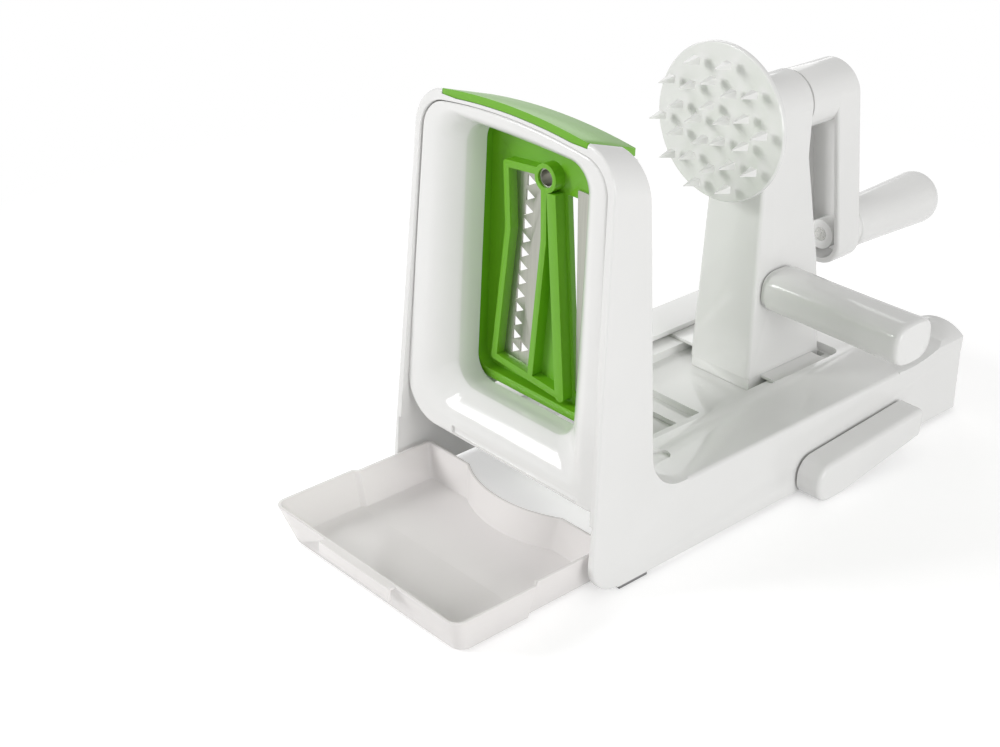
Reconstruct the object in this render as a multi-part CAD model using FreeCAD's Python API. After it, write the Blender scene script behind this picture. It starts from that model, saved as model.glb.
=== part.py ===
import FreeCAD, Part
import math
import os

# The suction cup's centre on the table is the origin, +Y runs to the rear and +Z up, in millimetres.
os.makedirs("parts", exist_ok=True)
Vector = FreeCAD.Vector

# Base and rails
base_width = 130.0
base_length = 266.0
cup_to_front = 145.0
rail_top_z = 38.5
skirt_bottom_z = 2.0
skirt_wall = 3.5
top_wall = 3.0
rail_edge_radius = 2.0
rear_corner_radius = 4.0
channel_left_x = -39.5
channel_right_x = 30.5
channel_rear_y = 62.6
channel_end_radius = 5.0
ledge_width = 8.2
ledge_z = 34.0
groove_depth = 5.0
groove_height = 2.0
deck_z = 29.5
deck_wall = 2.5
deck_front_y = -26.0
shelf_drop = 3.5
shelf_length = 11.0
recess_width = 9.0
recess_length = 36.0
recess_depth = 1.5
recess_end_radius = 4.4
recess_start = 6.0
recess_shift = 6.0
hump_height = 8.0
hump_start_y = 66.0
hump_inner_x = 32.0

# Arch
arch_taper = 0.04
arch_top_z = 197.8
arch_top_slope = 0.30
arch_crown_radius = 288.0
arch_depth = 38.6
arch_rear_taper = 0.063
arch_corner_radius = 18.0
arch_foot_radius = 15.0
rail_blend_radius = 20.0
arch_edge_radius = 1.2
strip_width = 3.5
top_strip = 5.0
web_wall = 2.5
web_front_depth = 21.0

# Front panel
panel_gap = 0.3
panel_bottom_z = 39.0
panel_left_radius = 19.0
panel_right_radius = 5.0
panel_front_depth = 3.9
panel_lean = 0.0204
panel_wall = 2.6
window_half_width = 36.0
window_bottom_z = 60.0
window_top_z = 182.0
window_radius = 11.0
window_edge_depth = 14.5
funnel_width = 11.0
funnel_rise = 1.5
drip_recess_half_length = 39.0
drip_recess_shift = 10.0
drip_recess_height = 3.6
drip_recess_depth = 1.2
drip_lip = 1.2

# Blade cartridge
cartridge_half_width = 41.0
cartridge_bottom_z = 61.0
cartridge_front_depth = 26.8
cartridge_thickness = 8.2
cartridge_base = 2.8
cartridge_clearance = 0.35
cap_half_width = 41.5
cap_front_depth = 8.0
cap_thickness = 3.5
cap_gap = 0.3
cap_seat_gap = 0.2
guide_wall = 3.2
rib_width = 3.2
wide_rib_width = 5.2
crank_z = 163.8
boss_x = 0.8
boss_radius = 6.2
boss_length = 17.0
ring_outer_radius = 4.2
ring_wall = 0.7
ring_length = 13.0
blade_thickness = 0.8
tooth_count = 13
tooth_width = 5.0
tooth_height = 5.2
blade_corner = 0.5
slot_corner = 0.8
# Ribs, slots and blades of the cartridge, as points (X, height over the crank's axis)
ridge_points = ((-2.0, 2.0), (-22.6, -0.2), (-20.2, -28.3), (-26.6, -91.3), (14.6, -95.0))
left_rib_points = ((0.2, -5.8), (1.2, -27.8), (-3.6, -90.8))
right_rib_points = ((4.4, -5.8), (8.6, -41.8), (14.6, -95.0))
toothed_points = ((-21.6, -1.3), (-19.4, -28.3), (-25.8, -91.6), (-4.5, -91.6), (0.6, -28.8), (-0.4, -1.3))
straight_points = ((15.2, -1.8), (24.0, -1.8), (28.5, -91.8), (19.8, -91.8))
left_slot_points = ((-20.4, -2.8), (-18.6, -28.3), (-24.8, -90.4), (-6.2, -90.4), (-1.6, -27.8), (-2.0, -5.8))
right_slot_points = ((9.0, -5.8), (18.5, -5.8), (22.5, -93.8), (18.5, -93.8), (13.0, -41.8))
first_tooth = (-11.4, -6.1)
last_tooth = (-17.7, -85.9)
second_row_offset = (5.5, 2.1)

# Juice tray
tray_front_y = -216.0
tray_length = 88.0
tray_half_width = 60.0
tray_rear_half_width = 58.2
tray_step_y = -172.0
tray_bottom_z = 1.2
tray_rim_z = 19.5
tray_draft = 4.5
tray_wall = 1.6
tray_corner_radius = 6.0
notch_radius = 54.0
notch_centre_y = -83.0
lip_half_width = 23.0
lip_reach = 3.2
lip_drop = 6.0

# Carriage
tower_front_y = 6.5
tower_bottom_z = 36.0
tower_bottom_half_width = 18.5
tower_bottom_depth = 54.5
tower_top_depth = 31.5
tower_barrel_radius = 15.2
tower_wall = 2.6
tower_waist_setback = 8.0
tower_waist_z = 87.0
tower_waist_radius = 30.0
tower_edge_radius = 2.0
barrel_front_y = -4.6
barrel_rear_y = 38.2
shaft_radius = 4.0
shaft_clearance = 0.05
bush_wall = 3.0
bush_length = 12.0
bush_flange = 1.4
bush_flange_radius = 9.5
foot_half_width = 18.0
foot_setback = 1.5
wing_setback = 10.0
wing_play = 0.5
wing_thickness = 1.6
slide_gap = 0.3
slide_screw_radius = 1.75
slide_screw_head = 3.2
slide_screw_length = 12.0
slide_screw_inset = 13.0

# Spiked disc
disc_radius = 36.4
disc_thickness = 3.0
disc_front_y = -10.0
disc_hub_radius = 11.0
disc_hub_gap = 0.6
spike_height = 7.0
spike_width = 4.6
spike_tip = 0.4
spike_rings = ((5, 8.5, 29.0), (10, 20.0, 23.0), (10, 29.3, 6.0))

# Crank
crank_radius = 76.8
arm_half_width = 14.6
arm_front_y = 58.4
arm_lean = 0.186
arm_depth = 17.0
arm_wall = 3.0
arm_edge_radius = 1.5
hub_gap = 0.5
hub_radius = 14.6
hub_clearance = 2.0
crank_screw_head = 4.0
washer_radius = 6.5
washer_thickness = 1.0
knob_collar_radius = 12.0
knob_end_radius = 14.0
knob_seat_radius = 11.1
knob_seat_rise = 0.4
knob_start_gap = 0.8
knob_length = 70.0
knob_round = 7.0
knob_bore_clearance = 0.06
spindle_radius = 3.5
spindle_length = 52.0
spindle_head_radius = 6.0
spindle_head = 2.5

# Push handle
handle_y = 22.0
handle_z = 81.0
handle_depth = 26.0
handle_height = 20.5
handle_length = 78.0
handle_corner_radius = 8.5
handle_end_round = 2.5
handle_neck = 3.0
handle_neck_inset = 1.6
handle_wall = 3.0
handle_solid = 24.0
handle_gap = 0.6
handle_screw_radius = 2.5
handle_screw_head = 4.5
handle_screw_reach = 22.0

# Suction lever and cup
lever_gap = 0.5
lever_thickness = 13.5
lever_axis_z = 12.0
lever_radius = 11.4
lever_length = 68.0
lever_tip_low = -2.0
lever_tip_high = 13.0
lever_edge_radius = 2.5
lever_shaft_radius = 4.0
lever_shaft_inner_x = -9.0
lever_skin = 4.0
housing_radius = 52.5
housing_wall = 2.4
housing_bottom_z = 4.0
housing_gap = 0.2
housing_guide_play = 0.4
housing_guide_height = 7.0
housing_screw_radius = 1.75
housing_screw_head = 3.2
housing_screw_circle = 42.0
housing_screw_angles = (45.0, 135.0, 210.0, 330.0)
cup_radius = 46.0
cup_wall = 2.6
cup_rise = 2.4
cup_rim = 6.0
cup_float = 0.2
yoke_half_width = 11.0
yoke_half_depth = 10.0
yoke_bottom_z = 4.0
yoke_wall = 2.6
cam_radius = 5.2
cam_offset = -1.6
cam_width = 12.0
cam_play = 0.6

# Feet
foot_radius = 6.5
foot_peg_radius = 2.2
foot_peg_length = 5.0
foot_inset = 11.0
front_foot_setback = 18.0
front_foot_length = 17.0
front_foot_width = 2.6

half_width = base_width / 2
front_y = -cup_to_front
rear_y = base_length - cup_to_front
cavity_x = half_width - skirt_wall
shelf_z = deck_z - shelf_drop
shelf_front_y = deck_front_y - shelf_length
deck_under_z = deck_z - deck_wall
shelf_under_z = shelf_z - deck_wall
housing_top_z = shelf_under_z - housing_gap
deck_left_x = channel_left_x + ledge_width
deck_right_x = channel_right_x - ledge_width
cartridge_front_y = front_y + cartridge_front_depth
cartridge_rear_y = cartridge_front_y + cartridge_thickness
base_front_y = cartridge_rear_y - cartridge_base
blade_front_y = base_front_y - blade_thickness
guide_rear_y = cartridge_rear_y + cartridge_clearance + guide_wall
guide_half_width = cartridge_half_width + cartridge_clearance + guide_wall
arm_rear_y = arm_front_y + arm_depth
knob_z = crank_z - crank_radius
arm_offset = arm_lean * crank_radius
knob_seat_y = arm_rear_y + arm_offset + arm_lean * knob_seat_radius + knob_seat_rise
knob_front_y = knob_seat_y + knob_start_gap
blend_end_y = front_y + arch_depth + rail_blend_radius
blend_top_z = rail_top_z + rail_blend_radius + 2
big = 400.0


def box(x0, x1, y0, y1, z0, z1):
    return Part.makeBox(x1 - x0, y1 - y0, z1 - z0, Vector(x0, y0, z0))


AXES = {"x": Vector(1, 0, 0), "y": Vector(0, 1, 0), "z": Vector(0, 0, 1)}


def place(axis, a, b, along):
    """A point from its two coordinates across an axis and its place along it."""
    if axis == "x":
        return Vector(along, a, b)
    if axis == "y":
        return Vector(a, along, b)
    return Vector(a, b, along)


def rod(axis, a, b, radius, low, high):
    return Part.makeCylinder(radius, high - low, place(axis, a, b, low), AXES[axis])


def cone(axis, a, b, low_radius, high_radius, low, high):
    return Part.makeCone(low_radius, high_radius, high - low, place(axis, a, b, low), AXES[axis])


def outline(axis, corners, along):
    """A closed wire through corners (a, b, radius), with an arc at each corner that has a radius."""
    edges = []
    stops = []
    count = len(corners)
    for index, (a, b, radius) in enumerate(corners):
        before = corners[index - 1]
        after = corners[(index + 1) % count]
        to_before = Vector(before[0] - a, before[1] - b, 0)
        to_after = Vector(after[0] - a, after[1] - b, 0)
        to_before.normalize()
        to_after.normalize()
        if radius == 0:
            stops.append((Vector(a, b, 0), None, Vector(a, b, 0)))
            continue
        half = to_before.getAngle(to_after) / 2
        reach = radius / math.tan(half)
        inward = to_before + to_after
        inward.normalize()
        corner = Vector(a, b, 0)
        middle = corner + inward * (radius / math.sin(half) - radius)
        stops.append((corner + to_before * reach, middle, corner + to_after * reach))
    for index, (start, middle, end) in enumerate(stops):
        if middle is not None:
            points = [place(axis, p.x, p.y, along) for p in (start, middle, end)]
            edges.append(Part.Arc(*points).toShape())
        following = stops[(index + 1) % count][0]
        if following.distanceToPoint(end) > 1e-6:
            first = place(axis, end.x, end.y, along)
            last = place(axis, following.x, following.y, along)
            edges.append(Part.LineSegment(first, last).toShape())
    return Part.Wire(edges)


def prism(axis, corners, low, high):
    face = Part.Face(outline(axis, corners, low))
    return face.extrude(AXES[axis] * (high - low))


def loft(axis, low_corners, low, high_corners, high):
    """A solid between two outlines with the same corners."""
    wires = [outline(axis, low_corners, low), outline(axis, high_corners, high)]
    return Part.makeLoft(wires, True, True)


def plate(half_x, low_z, high_z, low_radius, high_radius):
    """Corners of a rounded upright rectangle about the middle plane."""
    return [
        (-half_x, low_z, low_radius),
        (half_x, low_z, low_radius),
        (half_x, high_z, high_radius),
        (-half_x, high_z, high_radius),
    ]


def tapered(inset, low_z, high_z, low_radius, high_radius):
    """The same, with the arch's taper, a given inset inside its outer face."""
    low_x = half_width - inset - arch_taper * low_z
    high_x = half_width - inset - arch_taper * high_z
    return [
        (-low_x, low_z, low_radius),
        (low_x, low_z, low_radius),
        (high_x, high_z, high_radius),
        (-high_x, high_z, high_radius),
    ]


def fuse(shapes):
    return shapes[0].multiFuse(shapes[1:]).removeSplitter()


def rounded(shape, radius, wanted):
    """Rounds the edges for which wanted(edge) is true."""
    edges = [edge for edge in shape.Edges if wanted(edge)]
    return shape.makeFillet(radius, edges)


def save(name, shape):
    shape.exportStep("parts/" + name + ".step")


def under_top(depth, low_y, high_y):
    """All that lies a given depth below the arch's crowned top, which falls to the rear."""
    radius = arch_crown_radius - depth
    reach = half_width + 5
    middle_z = arch_top_z - depth - arch_top_slope * (low_y - front_y - cap_front_depth)
    edge_z = middle_z - radius + math.sqrt(radius ** 2 - reach ** 2)
    crown = Part.Arc(Vector(reach, low_y, edge_z), Vector(0, low_y, middle_z), Vector(-reach, low_y, edge_z))
    corners = [
        Vector(-reach, low_y, edge_z),
        Vector(-reach, low_y, -big),
        Vector(reach, low_y, -big),
        Vector(reach, low_y, edge_z),
    ]
    runs = [Part.LineSegment(corners[i], corners[i + 1]).toShape() for i in range(3)]
    fall = arch_top_slope * (high_y - low_y)
    return Part.Face(Part.Wire([crown.toShape()] + runs)).extrude(Vector(0, high_y - low_y, -fall))


def arch_form(inset, top_depth, low_z, low_y, high_y, left_radius=0, right_radius=0):
    """The arch's tapered and crowned outline as a block, an inset inside its outer faces."""
    corners = tapered(inset, low_z, arch_top_z + 5, 0, 0)
    corners[0] = (corners[0][0], corners[0][1], left_radius)
    corners[1] = (corners[1][0], corners[1][1], right_radius)
    block = prism("y", corners, low_y, high_y).common(under_top(top_depth, low_y - 1, high_y + 1))
    return rounded(block, arch_corner_radius - inset, lambda edge: edge.BoundBox.YLength > high_y - low_y - 0.1
                   and edge.BoundBox.ZMin > window_top_z - 30)


def arch_block():
    form = arch_form(0, 0, skirt_bottom_z, front_y, blend_end_y)
    high_z = arch_top_z + 1
    side = prism("x", [
        (front_y + arch_taper * skirt_bottom_z, skirt_bottom_z, arch_foot_radius),
        (front_y + arch_taper * high_z, high_z, 0),
        (front_y + arch_depth - arch_rear_taper * high_z, high_z, 0),
        (front_y + arch_depth - arch_rear_taper * rail_top_z, rail_top_z, rail_blend_radius),
        (blend_end_y, rail_top_z, 0),
        (blend_end_y, skirt_bottom_z, 0),
    ], -half_width, half_width)
    block = form.common(side)
    return rounded(block, arch_edge_radius, lambda edge: edge.BoundBox.YMax < front_y + 12
                   and edge.BoundBox.ZMax > arch_foot_radius + 5)


def rear_hump(side):
    """The raised, rounded end of one rail."""
    outer_x = side * (half_width - arch_taper * rail_top_z)
    crest = Part.Arc(
        Vector(outer_x, hump_start_y, rail_top_z + hump_height * 0.35),
        Vector(side * (half_width - 14), hump_start_y, rail_top_z + hump_height),
        Vector(side * hump_inner_x, hump_start_y, rail_top_z - 0.5),
    ).toShape()
    down = Vector(outer_x, hump_start_y, ledge_z)
    inner = Vector(side * hump_inner_x, hump_start_y, ledge_z)
    lines = [
        Part.LineSegment(Vector(side * hump_inner_x, hump_start_y, rail_top_z - 0.5), inner).toShape(),
        Part.LineSegment(inner, down).toShape(),
        Part.LineSegment(down, Vector(outer_x, hump_start_y, rail_top_z + hump_height * 0.35)).toShape(),
    ]
    dome = Part.Face(Part.Wire([crest] + lines)).extrude(Vector(0, rear_y - hump_start_y, 0))
    top_z = rail_top_z + hump_height
    sweep = Part.Arc(
        Vector(-big, hump_start_y, rail_top_z),
        Vector(-big, (hump_start_y + rear_y) / 2, rail_top_z + hump_height * 0.22),
        Vector(-big, rear_y - 10, top_z),
    ).toShape()
    points = [
        Vector(-big, rear_y - 10, top_z),
        Vector(-big, rear_y, top_z),
        Vector(-big, rear_y, ledge_z - 1),
        Vector(-big, hump_start_y, ledge_z - 1),
        Vector(-big, hump_start_y, rail_top_z),
    ]
    runs = [Part.LineSegment(points[i], points[i + 1]).toShape() for i in range(len(points) - 1)]
    profile = Part.Face(Part.Wire([sweep] + runs)).extrude(Vector(2 * big, 0, 0))
    hump = dome.common(profile)
    return rounded(hump, 3.0, lambda edge: edge.BoundBox.YMin > rear_y - 0.01
                   and edge.BoundBox.ZMax > rail_top_z + 2)


def base_block():
    base = prism("y", tapered(0, skirt_bottom_z, rail_top_z, 0, 0), front_y + 16, rear_y)
    base = rounded(base, rear_corner_radius, lambda edge: edge.BoundBox.ZLength > 30
                   and edge.BoundBox.YMin > rear_y - 1)
    return rounded(base, rail_edge_radius, lambda edge: edge.BoundBox.ZMin > rail_top_z - 0.01
                   and edge.BoundBox.YMax > front_y + 17)


def channel_cuts():
    """The space between the rails, its grooves, ledges, deck, shelf and the well down to the tray."""
    middle_front = front_y + arch_depth - 4
    left_open = channel_left_x - groove_depth
    right_open = channel_right_x + groove_depth
    ledge_top = prism("z", [
        (channel_left_x, middle_front, 0),
        (channel_right_x, middle_front, 0),
        (channel_right_x, channel_rear_y, channel_end_radius),
        (channel_left_x, channel_rear_y, channel_end_radius),
    ], ledge_z, big)
    groove = box(left_open, right_open, middle_front, channel_rear_y - channel_end_radius,
                 ledge_z, ledge_z + groove_height)
    deck = box(deck_left_x, deck_right_x, middle_front, channel_rear_y - 1, deck_z, big)
    shelf = box(deck_left_x, deck_right_x, middle_front, deck_front_y, shelf_z, big)
    well = box(deck_left_x, deck_right_x, middle_front, shelf_front_y, 0, big)
    return [ledge_top, groove, deck, shelf, well]


def underside_cuts():
    """The hollow under the deck and the pockets under the rails."""
    wall_rear = rear_y - skirt_wall
    left_pocket = channel_left_x - groove_depth - top_wall
    right_pocket = channel_right_x + groove_depth + top_wall
    pocket_top = rail_top_z - top_wall
    front = front_y + arch_depth
    return [
        box(-cavity_x, cavity_x, front_y - 1, deck_front_y + 2, 0, shelf_under_z),
        box(-cavity_x, cavity_x, deck_front_y + 2, wall_rear, 0, deck_under_z),
        box(-cavity_x, left_pocket, front, wall_rear, 0, pocket_top),
        box(right_pocket, cavity_x, front, wall_rear, 0, pocket_top),
        box(left_pocket - 1, right_pocket + 1, channel_rear_y + top_wall, wall_rear, 0, pocket_top),
    ]


def arch_cuts():
    """The panel's seat, the tray's way, the blade window, the cartridge's slot and the open back."""
    slot_front = cartridge_front_y - cartridge_clearance
    slot_rear = cartridge_rear_y + cartridge_clearance
    slot_x = cartridge_half_width + cartridge_clearance
    tunnel_x = window_half_width + panel_wall + panel_gap
    web_y = front_y + web_front_depth
    seat = arch_form(strip_width, top_strip, panel_bottom_z, front_y - 5, web_y,
                     panel_left_radius, panel_right_radius)
    seat_open = prism("y", tapered(strip_width, 0, panel_bottom_z + panel_left_radius, 0, 0),
                      front_y - 5, web_y)
    tray_way = box(-cavity_x, cavity_x, front_y - 5, front_y + arch_depth + 1, 0, panel_bottom_z - top_wall)
    window = prism("y", plate(tunnel_x, window_bottom_z - panel_wall - panel_gap,
                              window_top_z + panel_wall + panel_gap, window_radius + panel_wall,
                              window_radius + panel_wall), front_y, slot_rear)
    slot = box(-slot_x, slot_x, slot_front, slot_rear, cartridge_bottom_z - cartridge_clearance, big)
    rear_window = box(-window_half_width, window_half_width, slot_front, front_y + 60,
                      cartridge_bottom_z + 6, big)
    cap_x = cap_half_width + cap_gap
    cap_y = front_y + cap_front_depth - cap_gap
    cap_seat = box(-cap_x, cap_x, cap_y, front_y + 60, window_top_z - 30, big)
    cap_seat = cap_seat.cut(under_top(cap_thickness, cap_y - 1, front_y + 61))
    return [seat, seat_open, tray_way, window, slot, rear_window, cap_seat]


def arch_back_pocket():
    """The open moulding behind the arch's web, on both sides of the cartridge's guide."""
    web_rear = front_y + web_front_depth + web_wall
    inner = arch_form(strip_width, top_strip + web_wall, panel_bottom_z, web_rear, blend_end_y)
    guide = box(-guide_half_width, guide_half_width, web_rear - 1, blend_end_y + 1,
                cartridge_bottom_z - cartridge_clearance - guide_wall, big)
    left_foot = box(-big, channel_left_x, web_rear - 1, blend_end_y + 1, 0, blend_top_z)
    right_foot = box(channel_right_x, big, web_rear - 1, blend_end_y + 1, 0, blend_top_z)
    return inner.cut(guide).cut(left_foot).cut(right_foot)


def body_shell():
    guide = box(-guide_half_width, guide_half_width, front_y + web_front_depth, guide_rear_y,
                cartridge_bottom_z - cartridge_clearance - guide_wall, arch_top_z)
    guide = guide.common(under_top(strip_width, front_y, blend_end_y))
    arch = arch_block().cut(arch_back_pocket())
    body = fuse([base_block(), arch, guide, rear_hump(1), rear_hump(-1)])
    recess_y = front_y + arch_depth - recess_start
    recess_x = (channel_right_x + half_width) / 2 - recess_shift
    left_x = recess_x - recess_width / 2
    right_x = recess_x + recess_width / 2
    recess = prism("z", [
        (left_x, recess_y, recess_end_radius),
        (right_x, recess_y, recess_end_radius),
        (right_x, recess_y + recess_length, recess_end_radius),
        (left_x, recess_y + recess_length, recess_end_radius),
    ], rail_top_z - recess_depth, big)
    cuts = channel_cuts() + underside_cuts() + arch_cuts() + [recess]
    for cut in cuts:
        body = body.cut(cut)
    bosses = []
    for x in (-half_width + foot_inset, half_width - foot_inset):
        bosses.append(rod("z", x, rear_y - foot_inset, foot_radius, skirt_bottom_z, rail_top_z - top_wall))
    for x, y in housing_screw_places():
        bosses.append(rod("z", x, y, housing_screw_head, housing_top_z, deck_under_z + 0.5))
    body = fuse([body] + bosses)
    for x in (-half_width + foot_inset, half_width - foot_inset):
        body = body.cut(rod("z", x, rear_y - foot_inset, foot_peg_radius, 0, skirt_bottom_z + foot_peg_length))
    for x, y in housing_screw_places():
        body = body.cut(rod("z", x, y, housing_screw_radius, 0, deck_z - 1.2))
    bore = lever_shaft_radius + shaft_clearance
    body = body.cut(rod("x", 0, lever_axis_z, bore, cavity_x - 1, half_width + 1))
    return body


def window_funnel(grow):
    """The dish that narrows to the window's edge, grown by a wall for its outside."""
    wide = grow + funnel_width
    return loft("y", plate(window_half_width + wide, window_bottom_z - wide,
                           window_top_z + grow + funnel_rise, window_radius + 9, window_radius + 4),
                front_y + panel_front_depth - 1 + grow,
                plate(window_half_width + grow, window_bottom_z - grow, window_top_z + grow,
                      window_radius + grow, window_radius + grow),
                front_y + window_edge_depth + grow)


def front_panel():
    web_y = front_y + web_front_depth
    inset = strip_width + panel_gap
    top_depth = top_strip + panel_gap
    outer = arch_form(inset, top_depth, panel_bottom_z + panel_gap, front_y + panel_front_depth,
                      web_y - panel_gap, panel_left_radius, panel_right_radius)
    face_top_y = front_y + panel_front_depth + panel_lean * arch_top_z
    lean = prism("x", [
        (front_y + panel_front_depth, 0, 0),
        (face_top_y, arch_top_z, 0),
        (front_y + 60, arch_top_z, 0),
        (front_y + 60, 0, 0),
    ], -big, big)
    outer = outer.common(lean)
    tunnel = prism("y", plate(window_half_width + panel_wall, window_bottom_z - panel_wall,
                              window_top_z + panel_wall, window_radius + panel_wall,
                              window_radius + panel_wall),
                   front_y + window_edge_depth, cartridge_front_y - cartridge_clearance - 0.3)
    funnel = window_funnel(0)
    hollow = arch_form(inset + panel_wall, top_depth + panel_wall, panel_bottom_z + 2 * panel_wall,
                       face_top_y + panel_wall, web_y + 1, panel_left_radius - panel_wall,
                       panel_right_radius - panel_wall)
    hollow = hollow.cut(window_funnel(panel_wall)).cut(tunnel)
    hole = prism("y", plate(window_half_width, window_bottom_z, window_top_z, window_radius, window_radius),
                 front_y - 5, big)
    drip_low_z = panel_bottom_z + drip_lip
    drip = prism("y", plate(drip_recess_half_length, drip_low_z, drip_low_z + drip_recess_height, 0.6, 0.6),
                 front_y, front_y + panel_front_depth + panel_lean * drip_low_z + drip_recess_depth)
    drip.translate(Vector(drip_recess_shift, 0, 0))
    panel = outer.cut(hollow)
    panel = fuse([panel, tunnel])
    for cut in (funnel, hole, drip):
        panel = panel.cut(cut)
    return panel


def bar(x0, z0, x1, z1, width, low_y, high_y):
    """A straight rib from one point of the cartridge's face to another."""
    along = Vector(x1 - x0, 0, z1 - z0)
    length = along.Length
    side = Vector(-along.z, 0, along.x) * (width / 2 / length)
    start = Vector(x0, low_y, z0)
    end = Vector(x1, low_y, z1)
    points = [start + side, start - side, end - side, end + side, start + side]
    face = Part.Face(Part.makePolygon(points))
    solid = face.extrude(Vector(0, high_y - low_y, 0))
    joint = rod("y", x1, z1, width / 2, low_y, high_y)
    return solid.fuse(joint)


def rib_chain(points, width, low_y, high_y):
    bars = []
    for (x0, z0), (x1, z1) in zip(points, points[1:]):
        bars.append(bar(x0, crank_z + z0, x1, crank_z + z1, width, low_y, high_y))
    return bars


def cartridge_prism(points, radius, low_y, high_y):
    """A prism across the cartridge from points given over the crank's axis."""
    corners = [(x, crank_z + z, radius) for x, z in points]
    return prism("y", corners, low_y, high_y)


def blade_frame():
    top_z = arch_top_z
    face_y = cartridge_front_y
    base = prism("y", plate(cartridge_half_width, cartridge_bottom_z, top_z, 3.0, 1.0),
                 base_front_y, cartridge_rear_y)
    rim_width = cartridge_half_width - window_half_width - 1
    rim = box(-cartridge_half_width, cartridge_half_width, face_y, base_front_y + 0.5, cartridge_bottom_z, top_z)
    rim = rim.cut(prism("y", plate(cartridge_half_width - rim_width, cartridge_bottom_z + 4,
                                   window_top_z + 2, 7.0, 8.0), face_y - 1, base_front_y + 1))
    for points in (left_slot_points, right_slot_points):
        base = base.cut(cartridge_prism(points, slot_corner, face_y - 1, cartridge_rear_y + 1))
    ribs = rib_chain(ridge_points, rib_width, face_y, base_front_y + 0.5)
    ribs += rib_chain(left_rib_points, rib_width, face_y, cartridge_rear_y)
    ribs += rib_chain(right_rib_points, wide_rib_width, face_y, cartridge_rear_y)
    boss = rod("y", boss_x, crank_z, boss_radius, face_y, face_y + boss_length)
    frame = fuse([base, rim, boss] + ribs)
    frame = frame.cut(rod("y", boss_x, crank_z, ring_outer_radius, face_y - 1, face_y + boss_length + 1))
    for points in (toothed_points, straight_points):
        frame = frame.cut(cartridge_prism(points, blade_corner, blade_front_y, base_front_y))
    cap_y = front_y + cap_front_depth
    under = under_top(cap_thickness - cap_seat_gap, cap_y - 1, cartridge_rear_y + 1)
    frame = frame.common(under_top(cap_thickness - cap_seat_gap - 0.5, cap_y - 1, cartridge_rear_y + 1))
    cap = box(-cap_half_width, cap_half_width, cap_y, cartridge_rear_y, window_top_z - 30, big)
    cap = cap.common(under_top(0, cap_y - 1, cartridge_rear_y + 1)).cut(under)
    return fuse([frame, cap])


def julienne_blade():
    blade = cartridge_prism(toothed_points, blade_corner, blade_front_y, base_front_y)
    teeth = []
    for index in range(tooth_count):
        share = index / (tooth_count - 1)
        x = first_tooth[0] + (last_tooth[0] - first_tooth[0]) * share
        z = first_tooth[1] + (last_tooth[1] - first_tooth[1]) * share
        teeth.append(tooth(x, crank_z + z))
    teeth.append(tooth(last_tooth[0] + second_row_offset[0], crank_z + last_tooth[1] + second_row_offset[1]))
    for hole in teeth:
        blade = blade.cut(hole)
    blade = blade.cut(rod("y", boss_x, crank_z, boss_radius, -big, big))
    return blade


def tooth(x, z):
    """One triangular opening whose point looks to +X."""
    half = tooth_height / 2
    low_y = blade_front_y - 1
    points = [
        Vector(x - tooth_width / 2, low_y, z - half),
        Vector(x + tooth_width / 2, low_y, z),
        Vector(x - tooth_width / 2, low_y, z + half),
        Vector(x - tooth_width / 2, low_y, z - half),
    ]
    return Part.Face(Part.makePolygon(points)).extrude(Vector(0, blade_thickness + 2, 0))


def slicing_blade():
    return cartridge_prism(straight_points, blade_corner, blade_front_y, base_front_y)


def coring_ring():
    outer = rod("y", boss_x, crank_z, ring_outer_radius, cartridge_front_y + 1, cartridge_front_y + 1 + ring_length)
    inner = rod("y", boss_x, crank_z, ring_outer_radius - ring_wall, cartridge_front_y, cartridge_front_y + big)
    return outer.cut(inner)


def tray_corners(inset, low):
    """The tray's plan, inset by a wall and drawn in at the bottom by the draft."""
    draw = tray_draft if low else 0.0
    half = tray_half_width - inset - draw
    rear_half = tray_rear_half_width - inset - draw
    front = tray_front_y + inset + draw * 1.5
    rear = tray_front_y + tray_length - inset - draw * 0.3
    step = tray_step_y
    radius = max(tray_corner_radius - inset, 1.0)
    return [
        (-half, front, radius),
        (half, front, radius),
        (half, step, 0.4),
        (rear_half, step + 2.0, 0.4),
        (rear_half, rear, 2.0),
        (-rear_half, rear, 2.0),
        (-rear_half, step + 2.0, 0.4),
        (-half, step, 0.4),
    ]


def juice_tray():
    outer = loft("z", tray_corners(0, True), tray_bottom_z, tray_corners(0, False), tray_rim_z)
    inner = loft("z", tray_corners(tray_wall, True), tray_bottom_z + tray_wall,
                 tray_corners(tray_wall, False), tray_rim_z + 0.01)
    notch = rod("z", 0, notch_centre_y, notch_radius, 0, big)
    notch_wall = rod("z", 0, notch_centre_y, notch_radius + tray_wall, tray_bottom_z + tray_wall, tray_rim_z + 1)
    outer = outer.cut(notch)
    inner = inner.cut(notch_wall)
    lip = box(-lip_half_width, lip_half_width, tray_front_y - lip_reach, tray_front_y + tray_wall,
              tray_rim_z - 1.4, tray_rim_z)
    lip_front = box(-lip_half_width, lip_half_width, tray_front_y - lip_reach, tray_front_y - lip_reach + 1.4,
                    tray_rim_z - lip_drop, tray_rim_z)
    return fuse([outer.cut(inner), lip, lip_front])


def tower_profile(inset):
    top_z = crank_z + tower_barrel_radius
    rear = tower_front_y + tower_bottom_depth
    top_rear = tower_front_y + tower_top_depth
    return [
        (tower_front_y + inset, tower_bottom_z - 1 if inset else tower_bottom_z, 0),
        (rear - inset, tower_bottom_z - 1 if inset else tower_bottom_z, 0),
        (rear - tower_waist_setback - inset, tower_waist_z, tower_waist_radius),
        (top_rear - inset, crank_z - hub_radius - hub_clearance, 0),
        (top_rear - inset, top_z, 0),
        (tower_front_y + inset, top_z, 0),
    ]


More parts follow.
